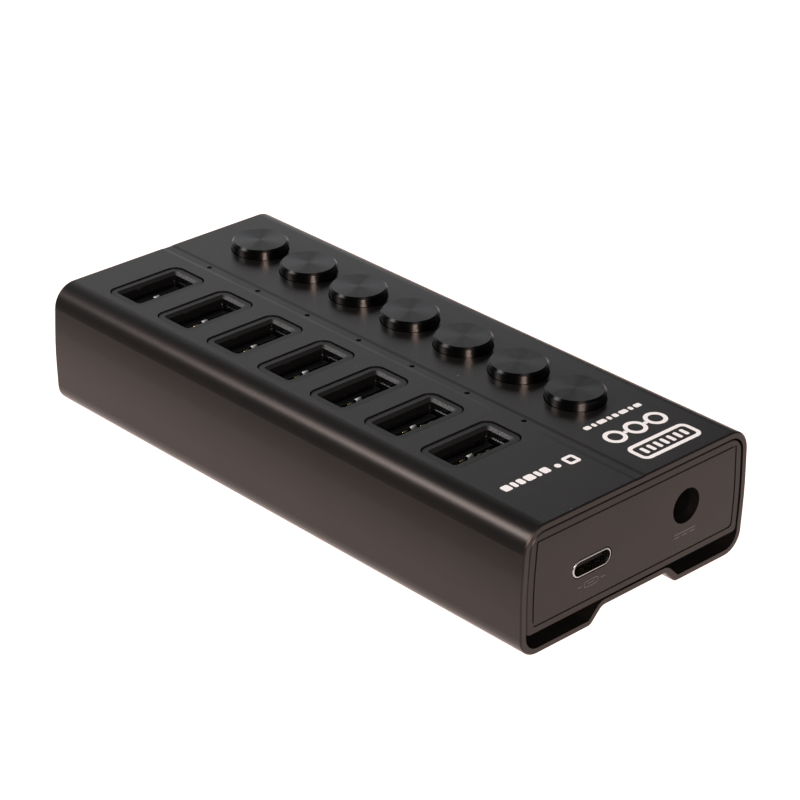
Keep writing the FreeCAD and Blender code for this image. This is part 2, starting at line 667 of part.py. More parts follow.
# ---- the whole hub ----
SINGLE_PARTS = {
    "case_sleeve": case_sleeve,
    "socket_end_plate": socket_end_plate,
    "plain_end_plate": lambda: end_plate(-1),
    "board_tray": board_tray,
    "main_board": main_board,
    "board_screws": board_screws,
    "usb_a_tongues": usb_a_tongues,
    "usb_a_contacts": usb_a_contacts,
    "indicator_leds": indicator_leds,
    "light_pipe_strip": light_pipe_strip,
    "usb_c_shell": usb_c_shell,
    "usb_c_tongue": usb_c_tongue,
    "usb_c_riser": usb_c_riser,
    "dc_jack_body": dc_jack_body,
    "dc_jack_pin": dc_jack_pin,
    "hub_chips": hub_chips,
    "capacitors": capacitors,
}
REPEATED_PARTS = {
    "port_bezel": port_bezel,
    "usb_a_shell": usb_a_shell,
    "button_cap": button_cap,
    "switch_plunger": switch_plunger,
    "switch_body": switch_body,
    "switch_spring": switch_spring,
}

os.makedirs("parts", exist_ok=True)
for part_name, make in SINGLE_PARTS.items():
    save(part_name, make())
for number in range(1, PORT_COUNT + 1):
    for part_name, make in REPEATED_PARTS.items():
        save(f"{part_name}_{number}", make(ROW_XS[number - 1]))
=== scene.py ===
"""The looks of a seven-port USB hub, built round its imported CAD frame.

Everything is in metres, in the CAD frame: +X towards the end with the upstream and power sockets,
-Y the side of the USB-A ports, +Y the side of the buttons, +Z up, and z = 0 the plane that the foot
rails stand on. Names that end in _MM are in millimetres.
"""

import json
import math

import bmesh
import bpy
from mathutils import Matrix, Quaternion, Vector


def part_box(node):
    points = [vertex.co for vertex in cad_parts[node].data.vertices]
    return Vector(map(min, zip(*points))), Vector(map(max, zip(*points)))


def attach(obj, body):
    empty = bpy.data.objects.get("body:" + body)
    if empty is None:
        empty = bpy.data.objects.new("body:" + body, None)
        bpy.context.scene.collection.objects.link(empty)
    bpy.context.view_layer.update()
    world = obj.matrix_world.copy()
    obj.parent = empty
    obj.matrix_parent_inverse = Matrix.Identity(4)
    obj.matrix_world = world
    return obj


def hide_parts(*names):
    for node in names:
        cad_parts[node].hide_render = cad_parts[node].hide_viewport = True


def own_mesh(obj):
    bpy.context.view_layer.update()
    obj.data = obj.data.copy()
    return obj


MM = 0.001
SQUARE_CORNERS = ((-1, -1), (1, -1), (1, 1), (-1, 1))

# ---- camera and studio ----
CAMERA_PLACE = (0.31962, -0.30543, 0.24470)
CAMERA_TARGET = (-0.01840, 0.02124, -0.00010)
CAMERA_ROLL_DEGREES = 1.03
CAMERA_LENS_MM = 129.16
CAMERA_NEAREST = 0.01
SENSOR_MM = 36.0
HUB_MIDDLE = (0.0, 0.0, 0.012)
FLOOR_SIZE = 6.0
FLOOR_DROP = 0.00002
FLOOR_COLOUR = (0.30, 0.28, 0.26)
FLOOR_GLOW = (1.28, 1.06, 1.00)
WORLD_COLOUR = (0.10, 0.10, 0.103)

# each soft light: name, direction from the hub, distance, width, height, power in watts, colour
SOFT_LIGHTS = (
    ("left_front", (-0.46, -0.59, 0.62), 1.0, 0.30, 0.34, 7.6, (1.00, 0.97, 0.98)),
    ("right_key", (0.88, -0.345, 0.31), 1.0, 0.32, 0.26, 14.2, (1.00, 0.81, 0.75)),
    ("back_panel", (-0.93, 0.36, 0.37), 1.4, 1.55, 0.88, 3.6, (0.95, 0.97, 1.00)),
)

# dim cards that only reflections see: name, centre in mm, direction along the floor, width, height
CARD_COLOUR = (0.01, 0.01, 0.01)
CARD_GLOW = 0.15
DIM_CARDS = (
    ("front_card", (-20.0, -48.0, 15.0), (1.0, 0.0), 420.0, 26.0),
    ("end_card", (84.0, 0.0, 22.0), (0.0, 1.0), 420.0, 32.0),
)

# ---- plain materials ----
CASE_SHINE = 0.27
PLATE_SHINE = 0.22

# moulded plastics: darker and paler shade, roughness, grain size and bump depth in mm, shine
MOULDED_SLOTS = {
    # insulator_black is black plastic made darker still: partly its own black, partly painted shade for
    # the insides of the jack and sockets
    "insulator_black": ((0.0015, 0.0015, 0.0015), (0.0025, 0.0025, 0.0025), 0.50, 0.2, 0.002, 0.10),
    "tray_plastic": ((0.020, 0.020, 0.021), (0.028, 0.028, 0.029), 0.50, 0.2, 0.006, 0.5),
    "board_green": ((0.010, 0.075, 0.040), (0.016, 0.100, 0.055), 0.32, 0.6, 0.004, 0.5),
    "chip_epoxy": ((0.018, 0.018, 0.018), (0.026, 0.026, 0.026), 0.55, 0.08, 0.004, 0.5),
    "switch_plastic": ((0.05, 0.05, 0.052), (0.065, 0.065, 0.068), 0.45, 0.2, 0.004, 0.5),
    "stem_plastic": ((0.66, 0.65, 0.61), (0.72, 0.71, 0.68), 0.40, 0.2, 0.003, 0.5),
    "led_epoxy": ((0.74, 0.72, 0.56), (0.82, 0.80, 0.66), 0.30, 0.2, 0.002, 0.5),
}

# rolled and drawn metals: darker and paler shade, roughness, stretch of the lines along each axis
LINES_ALONG_X = (12.0, 1.0, 1.0)
LINES_ALONG_Y = (1.0, 12.0, 1.0)
LINES_ALONG_Z = (1.0, 1.0, 12.0)
METAL_SLOTS = {
    # socket_steel has shades far darker than bare steel: painted shade for the insides of the sockets, on
    # their shells and spring fingers
    "socket_steel": ((0.12, 0.12, 0.125), (0.20, 0.20, 0.205), 0.28, LINES_ALONG_Z),
    "rim_steel": ((0.36, 0.36, 0.36), (0.46, 0.46, 0.46), 0.20, LINES_ALONG_X),
    "contact_gold": ((0.78, 0.56, 0.26), (0.88, 0.68, 0.36), 0.22, LINES_ALONG_Z),
    "can_aluminium": ((0.60, 0.60, 0.61), (0.72, 0.72, 0.73), 0.28, LINES_ALONG_Z),
    "screw_steel": ((0.50, 0.50, 0.52), (0.62, 0.62, 0.64), 0.32, LINES_ALONG_Y),
    "spring_steel": ((0.46, 0.46, 0.47), (0.58, 0.58, 0.59), 0.28, LINES_ALONG_X),
}

# ---- layout of the hub, as in its CAD frame ----
PORT_COUNT = 7
PORT_NUMBERS = range(1, PORT_COUNT + 1)
CAP_ACROSS_MM = 10.5
END_PLATES = ("socket_end_plate", "plain_end_plate")

# ---- inside the USB-A sockets ----
# a profile is a row of (outwards, height) points, and an offset is a distance from the socket's middle
CONTACT_OFFSETS_MM = (-3.5, -1.0, 1.0, 3.5)
CONTACT_WIDTH_MM = 0.95
CONTACT_SHEET_MM = 0.16
CONTACT_BEVEL_MM = 0.03
CONTACT_PROFILE_MM = (
    (0.08, 11.5), (0.10, 13.6), (0.16, 15.4), (0.34, 17.0), (0.62, 18.3), (0.84, 19.2),
    (0.90, 19.7), (0.84, 20.15), (0.62, 20.55), (0.34, 20.8), (0.10, 20.95),
)
SIDE_PAD_OFFSETS_MM = (-4.0, 2.0, 4.0)
PROUD_PAD_OFFSETS_MM = (-2.0,)
MIDDLE_PAD_OFFSETS_MM = (0.0,)
PAD_WIDTH_MM = 1.25
PAD_SHEET_MM = 0.06
SIDE_PAD_PROFILE_MM = ((0.03, 20.2), (0.03, 20.7), (0.03, 21.12))
PROUD_PAD_PROFILE_MM = ((0.03, 20.2), (0.03, 21.1), (0.0, 21.24), (-0.08, 21.30))
MIDDLE_PAD_PROFILE_MM = (
    (0.03, 20.2), (0.03, 20.7), (0.03, 21.15), (-0.06, 21.30), (-0.18, 21.40), (-0.45, 21.45),
)
MOUTH_WIDTH_MM = 5.12
MOUTH_LENGTH_MM = 12.5
MOUTH_RADIUS_MM = 0.4
LIP_MM = 0.12
FINGER_OFFSETS_MM = (-3.4, 3.4)
FINGER_WIDTH_MM = 1.7
FINGER_SHEET_MM = 0.22
FINGER_INSET_MM = 0.30
FINGER_PROFILE_MM = (
    (-0.15, 15.2), (-0.10, 15.9), (0.02, 16.8), (0.18, 17.6),
    (0.28, 18.2), (0.26, 18.7), (0.12, 19.1), (-0.02, 19.4),
)

# ---- coil springs under the caps ----
SPRING_TURNS = 5.5
SPRING_WIRE_MM = 0.34
SPRING_RADIUS_MM = 2.85
SPRING_STEPS_PER_TURN = 28
SPRING_WIRE_SIDES = 8

# ---- contacts on the tongue of the USB-C socket ----
USBC_TONGUE_HALF_MM = 0.35
USBC_CONTACT_SETBACK_MM = 0.5
USBC_CONTACT_COUNT = 12
USBC_CONTACT_PITCH_MM = 0.5
USBC_CONTACT_WIDTH_MM = 0.26
USBC_CONTACT_LENGTH_MM = 4.2
USBC_CONTACT_RAISE_MM = 0.02

# ---- printed marks ----
INK_THICKNESS_MM = 0.02
MARK_SEGMENTS = 8
SMALLEST_MARK_RADIUS_MM = 0.05

# the large mark on the top: the corner (x, y) that it is laid out from, then its parts from that corner
LARGE_MARK_CORNER_MM = (41.15, 18.97)
MARK_LINE_MM = 0.8
HUB_PICTURE_MIDDLE_MM = (7.2, 12.4)
HUB_PICTURE_SIZE_MM = (14.2, 5.0)
HUB_PICTURE_RADIUS_MM = 1.5
PICTURE_BAR_FIRST_MM = 2.4
PICTURE_BAR_PITCH_MM = 1.6
PICTURE_BAR_SIZE_MM = (0.8, 2.0)
PICTURE_BAR_RADIUS_MM = 0.3
RING_COUNT = 3
RING_FIRST_MM = 2.3
RING_PITCH_MM = 4.9
RING_ACROSS_MM = 4.2
RING_ROW_MM = 6.0
RING_LINK_LENGTH_MM = 0.6
RING_LINK_RADIUS_MM = 0.25

# the rows of dashes: where the row starts, its middle line, height of a dash, radius, gap and widths
LARGE_DASHES_MM = (0.4, 0.9, 1.1, 0.35, 0.5, (1.5, 0.8, 1.8, 1.1, 0.8, 1.9, 0.8, 1.4))
SMALL_DASHES_MM = (6.2, 1.0, 1.7, 0.4, 0.45, (1.6, 0.9, 1.9, 1.2, 0.9, 1.7))

# the small mark beside the ports: its corner, a square and a dot
SMALL_MARK_CORNER_MM = (46.35, -2.83)
SQUARE_MIDDLE_MM = 1.3
SQUARE_ACROSS_MM = 2.6
SQUARE_RADIUS_MM = 0.6
SQUARE_LINE_MM = 0.65
DOT_MIDDLE_MM = 4.4
DOT_ACROSS_MM = 1.2

# the faint marks under the two sockets of the end plate: their middles (y, z), then their lines
USBC_MARK_MIDDLE_MM = (-10.58, 8.4)
PLUG_OUTLINE_SIZE_MM = (3.4, 1.3)
PLUG_OUTLINE_RADIUS_MM = 0.6
PLUG_LINE_MM = 0.2
PLUG_TONGUE_SIZE_MM = (1.8, 0.22)
PLUG_SIDE_DASH_MM = 2.7
PLUG_SIDE_DASH_LENGTH_MM = 1.0
JACK_MARK_MIDDLE_MM = (11.77, 8.8)
JACK_LINE_LENGTH_MM = 5.2
JACK_LINE_ROW_MM = 0.3
JACK_DASH_PITCH_MM = 1.9
JACK_DASH_LENGTH_MM = 1.3
FAINT_LINE_MM = 0.25
FAINT_RADIUS_MM = 0.1


# ---- mesh helpers ----
def new_piece(name, mesh_builder, material, body="root", smooth=True):
    """Link a mesh object made by bmesh, give it its material and let it ride on a CAD body."""
    mesh = bpy.data.meshes.new(name)
    mesh_builder.normal_update()
    mesh_builder.to_mesh(mesh)
    mesh_builder.free()
    for polygon in mesh.polygons:
        polygon.use_smooth = smooth
    piece = bpy.data.objects.new(name, mesh)
    bpy.context.scene.collection.objects.link(piece)
    piece.data.materials.append(material)
    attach(piece, body)
    return piece


def soften_edges(piece, width_mm):
    """A small bevel on the sharp edges, with flat faces kept flat."""
    bevel = piece.modifiers.new("soft_edges", "BEVEL")
    bevel.width = width_mm * MM
    bevel.segments = 2
    bevel.limit_method = "ANGLE"
    bevel.harden_normals = True


def prism(builder, loop, lift):
    """A closed slab: the loop of points, and the same loop moved by the lift vector."""
    low = [builder.verts.new(point) for point in loop]
    high = [builder.verts.new(point + lift) for point in loop]
    count = len(loop)
    builder.faces.new(low[::-1])
    builder.faces.new(high)
    for i in range(count):
        following = (i + 1) % count
        builder.faces.new((low[i], low[following], high[following], high[i]))


def ring_prism(builder, outer, inner, lift):
    """A closed frame between two loops with the same number of points."""
    rows = []
    for loop, offset in ((outer, Vector()), (outer, lift), (inner, lift), (inner, Vector())):
        rows.append([builder.verts.new(point + offset) for point in loop])
    count = len(outer)
    for r in range(4):
        row, next_row = rows[r], rows[(r + 1) % 4]
        for i in range(count):
            following = (i + 1) % count
            builder.faces.new((row[i], row[following], next_row[following], next_row[i]))


def rounded_loop(place, width, height, radius):
    """Points round a rounded rectangle. place(u, v) turns the mark's own mm into a point in the frame."""
    points = []
    quarters = ((1, 1, 0), (-1, 1, 90), (-1, -1, 180), (1, -1, 270))
    for sign_u, sign_v, start in quarters:
        centre_u = sign_u * (width / 2 - radius)
        centre_v = sign_v * (height / 2 - radius)
        for i in range(MARK_SEGMENTS + 1):
            angle = math.radians(start + 90 * i / MARK_SEGMENTS)
            points.append(place(centre_u + radius * math.cos(angle), centre_v + radius * math.sin(angle)))
    return points


def join_rows(builder, rows):
    """Join each row of vertices to the next with faces, and close both ends."""
    for row, next_row in zip(rows, rows[1:]):
        for i in range(len(row)):
            following = (i + 1) % len(row)
            builder.faces.new((row[i], row[following], next_row[following], next_row[i]))
    builder.faces.new(rows[0][::-1])
    builder.faces.new(rows[-1])


def strip_along(builder, profile, width, sheet, place):
    """A strip of sheet metal along a profile. place(outwards, across, height) gives a point in space."""
    points = [Vector(point) for point in profile]
    rows = []
    for i, point in enumerate(points):
        before = points[max(i - 1, 0)]
        after = points[min(i + 1, len(points) - 1)]
        along = (after - before).normalized()
        normal = Vector((along.y, -along.x))
        outside = point + normal * sheet / 2
        inside = point - normal * sheet / 2
        row = [
            builder.verts.new(place(outside.x, -width / 2, outside.y)),
            builder.verts.new(place(outside.x, width / 2, outside.y)),
            builder.verts.new(place(inside.x, width / 2, inside.y)),
            builder.verts.new(place(inside.x, -width / 2, inside.y)),
        ]
        rows.append(row)
    join_rows(builder, rows)


def middle_of(node):
    """The middle of a CAD node's box."""
    low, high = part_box(node)
    return (low + high) / 2


# ---- materials ----
class Look:
    """A node material: its Principled shader, and the nodes that give it grain, variation and dust.

    The colour and roughness that it starts with stand until a pattern is linked in their place.
    """

    def __init__(self, name, colour, roughness, metallic=0.0):
        self.material = bpy.data.materials.new(name)
        self.material.use_nodes = True
        self.tree = self.material.node_tree
        self.shader = self.tree.nodes["Principled BSDF"]
        self.set("Base Color", (*colour, 1.0))
        self.set("Roughness", roughness)
        self.set("Metallic", metallic)
        self.coordinates = self.tree.nodes.new("ShaderNodeTexCoord").outputs["Object"]

    def set(self, socket, value):
        self.shader.inputs[socket].default_value = value

    def link(self, output, target):
        self.tree.links.new(output, target)

    def noise(self, size_mm, detail=3.0, stretch=(1.0, 1.0, 1.0)):
        """A noise factor whose features are about size_mm across, longer where stretch is above 1."""
        mapping = self.tree.nodes.new("ShaderNodeMapping")
        mapping.inputs["Scale"].default_value = [1 / value for value in stretch]
        noise = self.tree.nodes.new("ShaderNodeTexNoise")
        noise.inputs["Scale"].default_value = 1 / (size_mm * MM)
        noise.inputs["Detail"].default_value = detail
        self.link(self.coordinates, mapping.inputs["Vector"])
        self.link(mapping.outputs["Vector"], noise.inputs["Vector"])
        return noise.outputs["Fac"]

    def spread(self, factor, low, high, edge_low=0.3, edge_high=0.7):
        """Turn a factor into a value that goes from low to high between the two edges, and stays there."""
        spread = self.tree.nodes.new("ShaderNodeMapRange")
        spread.inputs["From Min"].default_value = edge_low
        spread.inputs["From Max"].default_value = edge_high
        spread.inputs["To Min"].default_value = low
        spread.inputs["To Max"].default_value = high
        self.link(factor, spread.inputs["Value"])
        return spread.outputs["Result"]

    def mix(self, factor, first, second):
        """A colour between two others. Either can be a colour or a socket."""
        mix = self.tree.nodes.new("ShaderNodeMix")
        mix.data_type = "RGBA"
        self.link(factor, mix.inputs["Factor"])
        for value, target in ((first, mix.inputs["A"]), (second, mix.inputs["B"])):
            if isinstance(value, tuple):
                target.default_value = (*value, 1.0)
            else:
                self.link(value, target)
        return mix.outputs["Result"]

    def vary_colour(self, factor, first, second):
        """Let the base colour go from one colour or socket to another."""
        self.link(self.mix(factor, first, second), self.shader.inputs["Base Color"])

    def vary_roughness(self, factor, low, high):
        """Let the roughness go from low to high."""
        self.link(self.spread(factor, low, high), self.shader.inputs["Roughness"])

    def bump(self, height, depth_mm):
        """Let a factor raise and lower the surface by up to depth_mm, in shading only."""
        bump = self.tree.nodes.new("ShaderNodeBump")
        bump.inputs["Distance"].default_value = depth_mm * MM
        self.link(height, bump.inputs["Height"])
        self.link(bump.outputs["Normal"], self.shader.inputs["Normal"])

    def facing(self):
        """The way the surface faces, in the piece's own frame, as the outputs X, Y and Z."""
        split = self.tree.nodes.new("ShaderNodeSeparateXYZ")
        self.link(self.tree.nodes.new("ShaderNodeTexCoord").outputs["Normal"], split.inputs["Vector"])
        return split.outputs

    def both(self, first, second):
        """The product of two factors."""
        product = self.tree.nodes.new("ShaderNodeMath")
        product.operation = "MULTIPLY"
        self.link(first, product.inputs[0])
        self.link(second, product.inputs[1])
        return product.outputs["Value"]

    def below(self, factor, limit):
        """1 where the factor is under the limit, and 0 elsewhere."""
        test = self.tree.nodes.new("ShaderNodeMath")
        test.operation = "LESS_THAN"
        test.inputs[1].default_value = limit
        self.link(factor, test.inputs[0])
        return test.outputs["Value"]

    def rings(self, spacing_mm, across_mm):
        """A factor that varies with the distance from a round piece's middle, as turning marks do."""
        generated = self.tree.nodes.new("ShaderNodeTexCoord").outputs["Generated"]
        from_middle = self.tree.nodes.new("ShaderNodeVectorMath")
        from_middle.operation = "MULTIPLY_ADD"
        from_middle.inputs[1].default_value = (1.0, 1.0, 0.0)
        from_middle.inputs[2].default_value = (-0.5, -0.5, 0.0)
        self.link(generated, from_middle.inputs[0])
        distance = self.tree.nodes.new("ShaderNodeVectorMath")
        distance.operation = "LENGTH"
        self.link(from_middle.outputs["Vector"], distance.inputs[0])
        marks = self.tree.nodes.new("ShaderNodeTexNoise")
        marks.noise_dimensions = "1D"
        marks.inputs["Scale"].default_value = across_mm / spacing_mm
        self.link(distance.outputs["Value"], marks.inputs["W"])
        return marks.outputs["Fac"]

    def dust(self, spacing_mm, speck_mm, share):
        """A factor that is 1 on small specks, one in some of the cells of a random pattern."""
        cells = self.tree.nodes.new("ShaderNodeTexVoronoi")
        cells.inputs["Scale"].default_value = 1 / (spacing_mm * MM)
        self.link(self.coordinates, cells.inputs["Vector"])
        split = self.tree.nodes.new("ShaderNodeSeparateColor")
        self.link(cells.outputs["Color"], split.inputs["Color"])
        near = self.below(cells.outputs["Distance"], speck_mm / spacing_mm)
        chosen = self.below(split.outputs["Red"], share)
        return self.both(near, chosen)


def anodised_black(name, shine):
    """Fine bead-blasted black anodising, a little warm in its shine, with a few specks of dust."""
    look = Look(name, (0.012, 0.012, 0.012), 0.32)
    look.set("Specular IOR Level", shine)
    look.set("Specular Tint", (1.0, 0.84, 0.76, 1.0))
    grain = look.noise(0.12, detail=2.0)
    clouds = look.noise(9.0, detail=4.0)
    colour = look.mix(look.spread(clouds, 0.0, 1.0), (0.004, 0.004, 0.004), (0.006, 0.0057, 0.0055))
    dust = look.dust(spacing_mm=4.5, speck_mm=0.10, share=0.40)
    look.vary_colour(dust, colour, (0.25, 0.24, 0.23))
    look.vary_roughness(grain, 0.29, 0.35)
    look.bump(grain, 0.004)
    return look.material


def turned_black():
    """Turned rings on the flat top and a smooth, glossy side, with painted light and shade: the side's
    colour is paler and the chamfer's darker than the top's.
    """
    look = Look("turned_black", (0.04, 0.04, 0.04), 0.30, metallic=1.0)
    look.set("Anisotropic", 0.88)
    look.set("Anisotropic Rotation", 0.25)
    upwards = look.facing()["Z"]
    look.vary_roughness(upwards, 0.18, 0.32)
    rings = look.spread(look.rings(spacing_mm=0.35, across_mm=CAP_ACROSS_MM), 0.0, 1.0)
    top = look.mix(rings, (0.034, 0.033, 0.033), (0.046, 0.045, 0.045))
    # The cap is one metal. The paler side is a painted highlight on it, and the darker chamfer is painted
    # shade that dims its glint, both set by the way each face points.
    side = (0.09, 0.085, 0.08)
    chamfer = (0.016, 0.016, 0.016)
    painted_side_and_chamfer = look.mix(look.spread(upwards, 0.0, 1.0, edge_low=0.3, edge_high=0.6), side, chamfer)
    colour = look.mix(look.spread(upwards, 0.0, 1.0, edge_low=0.85, edge_high=0.95), painted_side_and_chamfer, top)
    dust = look.dust(spacing_mm=2.4, speck_mm=0.07, share=0.25)
    look.vary_colour(dust, colour, (0.20, 0.20, 0.20))
    tangent = look.tree.nodes.new("ShaderNodeTangent")
    tangent.direction_type = "RADIAL"
    tangent.axis = "Z"
    look.link(tangent.outputs["Tangent"], look.shader.inputs["Tangent"])
    return look.material


def bezel_black():
    """Satin on its face and funnel, glossy on the walls inside, and a painted highlight: paler on the
    funnel's far end.
    """
    look = Look("bezel_black", (0.003, 0.003, 0.003), 0.46)
    look.set("Specular IOR Level", 0.42)
    facing = look.facing()
    roughness = look.spread(facing["Z"], 0.14, 0.46, edge_low=0.1, edge_high=0.5)
    look.link(roughness, look.shader.inputs["Roughness"])
    grain = look.noise(0.20, detail=2.0)
    strong_grain = look.spread(grain, 0.0, 1.0, edge_low=0.4, edge_high=0.6)
    plain = look.mix(grain, (0.0015, 0.0015, 0.0015), (0.004, 0.004, 0.004))
    # painted highlight: the paler colour on the funnel wall that faces away from the buttons, where light
    # reflects
    pale = look.mix(strong_grain, (0.006, 0.006, 0.006), (0.065, 0.065, 0.065))
    painted_highlight_facing = look.spread(facing["Y"], 1.0, 0.0, edge_low=-0.6, edge_high=-0.3)
    upwards = look.spread(facing["Z"], 0.0, 1.0, edge_low=0.1, edge_high=0.5)
    look.vary_colour(look.both(painted_highlight_facing, upwards), plain, pale)
    look.bump(grain, 0.006)
    return look.material


def moulded(name, dark, light, roughness, grain_mm, depth_mm, shine):
    """A moulded plastic with a fine texture."""
    look = Look(name, dark, roughness)
    look.set("Specular IOR Level", shine)
    grain = look.noise(grain_mm, detail=2.0)
    look.vary_colour(look.spread(grain, 0.0, 1.0), dark, light)
    look.vary_roughness(grain, roughness - 0.04, roughness + 0.04)
    look.bump(grain, depth_mm)
    return look.material


def sheet_metal(name, dark, light, roughness, stretch):
    """Rolled or drawn metal, with fine lines along the stretched direction."""
    look = Look(name, light, roughness, metallic=1.0)
    lines = look.noise(0.10, detail=3.0, stretch=stretch)
    look.vary_colour(look.spread(lines, 0.0, 1.0), dark, light)
    look.vary_roughness(lines, roughness - 0.05, roughness + 0.05)
    look.bump(lines, 0.002)
    return look.material


def painted_glint_pad():
    """The pale colour of the folded middle pads, a painted glint: paler than the gold of the other pads,
    so that their tips look white.
    """
    look = Look("painted_glint_pad", (0.70, 0.70, 0.68), 0.5, metallic=0.35)
    grain = look.noise(0.15, detail=2.0)
    look.vary_colour(look.spread(grain, 0.0, 1.0), (0.62, 0.61, 0.59), (0.76, 0.76, 0.74))
    look.bump(grain, 0.003)
    return look.material


def clear_smoked():
    """The smoked clear moulding of the light pipes."""
    look = Look("light_pipe", (0.03, 0.03, 0.03), 0.25)
    look.set("Transmission Weight", 0.5)
    look.vary_roughness(look.noise(0.4), 0.20, 0.30)
    return look.material


def printed_ink():
    """White printing ink."""
    look = Look("white_print", (0.86, 0.86, 0.85), 0.55)
    grain = look.noise(0.10, detail=2.0)
    look.vary_colour(look.spread(grain, 0.0, 1.0), (0.84, 0.84, 0.83), (0.90, 0.90, 0.89))
    look.bump(grain, 0.003)
    return look.material


def faint_print():
    """The dark grey marks of the end plate, hardly paler than the plate."""
    look = Look("faint_print", (0.02, 0.019, 0.018), 0.4)
    grain = look.noise(0.15)
    look.vary_colour(look.spread(grain, 0.0, 1.0), (0.010, 0.0095, 0.009), (0.030, 0.028, 0.026))
    return look.material


def slot_materials():
    """One material for each material slot of the record."""
    materials = {
        "anodised_black": anodised_black("anodised_black", CASE_SHINE),
        "turned_black": turned_black(),
        "bezel_black": bezel_black(),
        "light_pipe": clear_smoked(),
    }
    for slot, finish in MOULDED_SLOTS.items():
        materials[slot] = moulded(slot, *finish)
    for slot, finish in METAL_SLOTS.items():
        materials[slot] = sheet_metal(slot, *finish)
    return materials


def dress_nodes(frame, materials):
    """Give every CAD node the material of its slot."""
    for subpart in frame["record"]["subparts"]:
        node = frame["nodes"][subpart["node"]]
        node.data.materials.clear()
        node.data.materials.append(materials[subpart["material_slot"]])
    plate_look = anodised_black("plate_black", PLATE_SHINE)
    for plate in END_PLATES:
        frame["nodes"][plate].data.materials[0] = plate_look


# ---- pieces that the CAD solids stand for ----
def tongue_strips(name, offsets, profile, width, sheet, material):
    """Strips on every tongue, at the given distances from its middle, as one piece."""
    builder = bmesh.new()
    for number in PORT_NUMBERS:
        centre = middle_of(f"usb_a_shell_{number}")
        for offset in offsets:
            def place(outwards, across, height):
                return Vector((centre.x + outwards * MM, centre.y + (offset + across) * MM, height * MM))
            strip_along(builder, profile, width, sheet, place)
    return new_piece(name, builder, material)


def contact_springs(material):
    """Four bowed contact springs in each USB-A socket, on the face of its tongue."""
    piece = tongue_strips("usb_a_contact_springs", CONTACT_OFFSETS_MM, CONTACT_PROFILE_MM,
                          CONTACT_WIDTH_MM, CONTACT_SHEET_MM, material)
    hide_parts("usb_a_contacts")
    soften_edges(piece, CONTACT_BEVEL_MM)


def contact_pads(name, offsets, profile, material):
    """Thin pads at the tip of every tongue."""
    piece = tongue_strips(name, offsets, profile, PAD_WIDTH_MM, PAD_SHEET_MM, material)


def shell_lips(material):
    """The bright sheared edge round the mouth of each USB-A shell."""
    builder = bmesh.new()
    for number in PORT_NUMBERS:
        centre = middle_of(f"usb_a_shell_{number}")
        top_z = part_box(f"usb_a_shell_{number}")[1].z

        def place(u, v):
            return Vector((centre.x + u * MM, centre.y + v * MM, top_z))
        mouth = rounded_loop(place, MOUTH_WIDTH_MM, MOUTH_LENGTH_MM, MOUTH_RADIUS_MM)
        edge = rounded_loop(place, MOUTH_WIDTH_MM - LIP_MM, MOUTH_LENGTH_MM - LIP_MM, MOUTH_RADIUS_MM)
        ring_prism(builder, mouth, edge, Vector((0, 0, -LIP_MM * MM)))
    piece = new_piece("usb_a_shell_lips", builder, material, smooth=False)


def spring_fingers(material):
    """The four fingers that grip the plug, two in the slots of each long side of every shell."""
    builder = bmesh.new()
    for number in PORT_NUMBERS:
        low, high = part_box(f"usb_a_shell_{number}")
        centre_y = (low.y + high.y) / 2
        for wall_x, inwards in ((low.x, 1), (high.x, -1)):
            for offset in FINGER_OFFSETS_MM:
                def place(outwards, across, height):
                    x = wall_x + inwards * (FINGER_INSET_MM + outwards) * MM
                    return Vector((x, centre_y + (offset + across) * MM, height * MM))
                strip_along(builder, FINGER_PROFILE_MM, FINGER_WIDTH_MM, FINGER_SHEET_MM, place)
    piece = new_piece("usb_a_spring_fingers", builder, material)


def coil(builder, foot, height):
    """A coil of round wire that stands on the foot point, with its end turns flatter than the rest."""
    wire = SPRING_WIRE_MM / 2 * MM
    climb = height - 2 * wire
    steps = int(SPRING_TURNS * SPRING_STEPS_PER_TURN)
    rows = []
    for i in range(steps + 1):
        share = i / steps
        angle = share * SPRING_TURNS * 2 * math.pi
        rise = share - math.sin(share * 2 * math.pi) / (2 * math.pi)
        outwards = Vector((math.cos(angle), math.sin(angle), 0))
        middle = foot + Vector((0, 0, wire + rise * climb)) + outwards * SPRING_RADIUS_MM * MM
        row = []
        for k in range(SPRING_WIRE_SIDES):
            turn = -2 * math.pi * k / SPRING_WIRE_SIDES
            offset = outwards * (wire * math.cos(turn)) + Vector((0, 0, wire * math.sin(turn)))
            row.append(builder.verts.new(middle + offset))
        rows.append(row)
    join_rows(builder, rows)


def coil_spring(number, material):
    """A coil return spring round the stem, in place of the CAD tube."""
    low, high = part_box(f"switch_spring_{number}")
    centre = (low + high) / 2
    height = high.z - low.z
    builder = bmesh.new()
    coil(builder, Vector((centre.x, centre.y, low.z)), height)
    piece = new_piece(f"coil_spring_{number}", builder, material)
    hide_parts(f"switch_spring_{number}")
    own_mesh(piece)


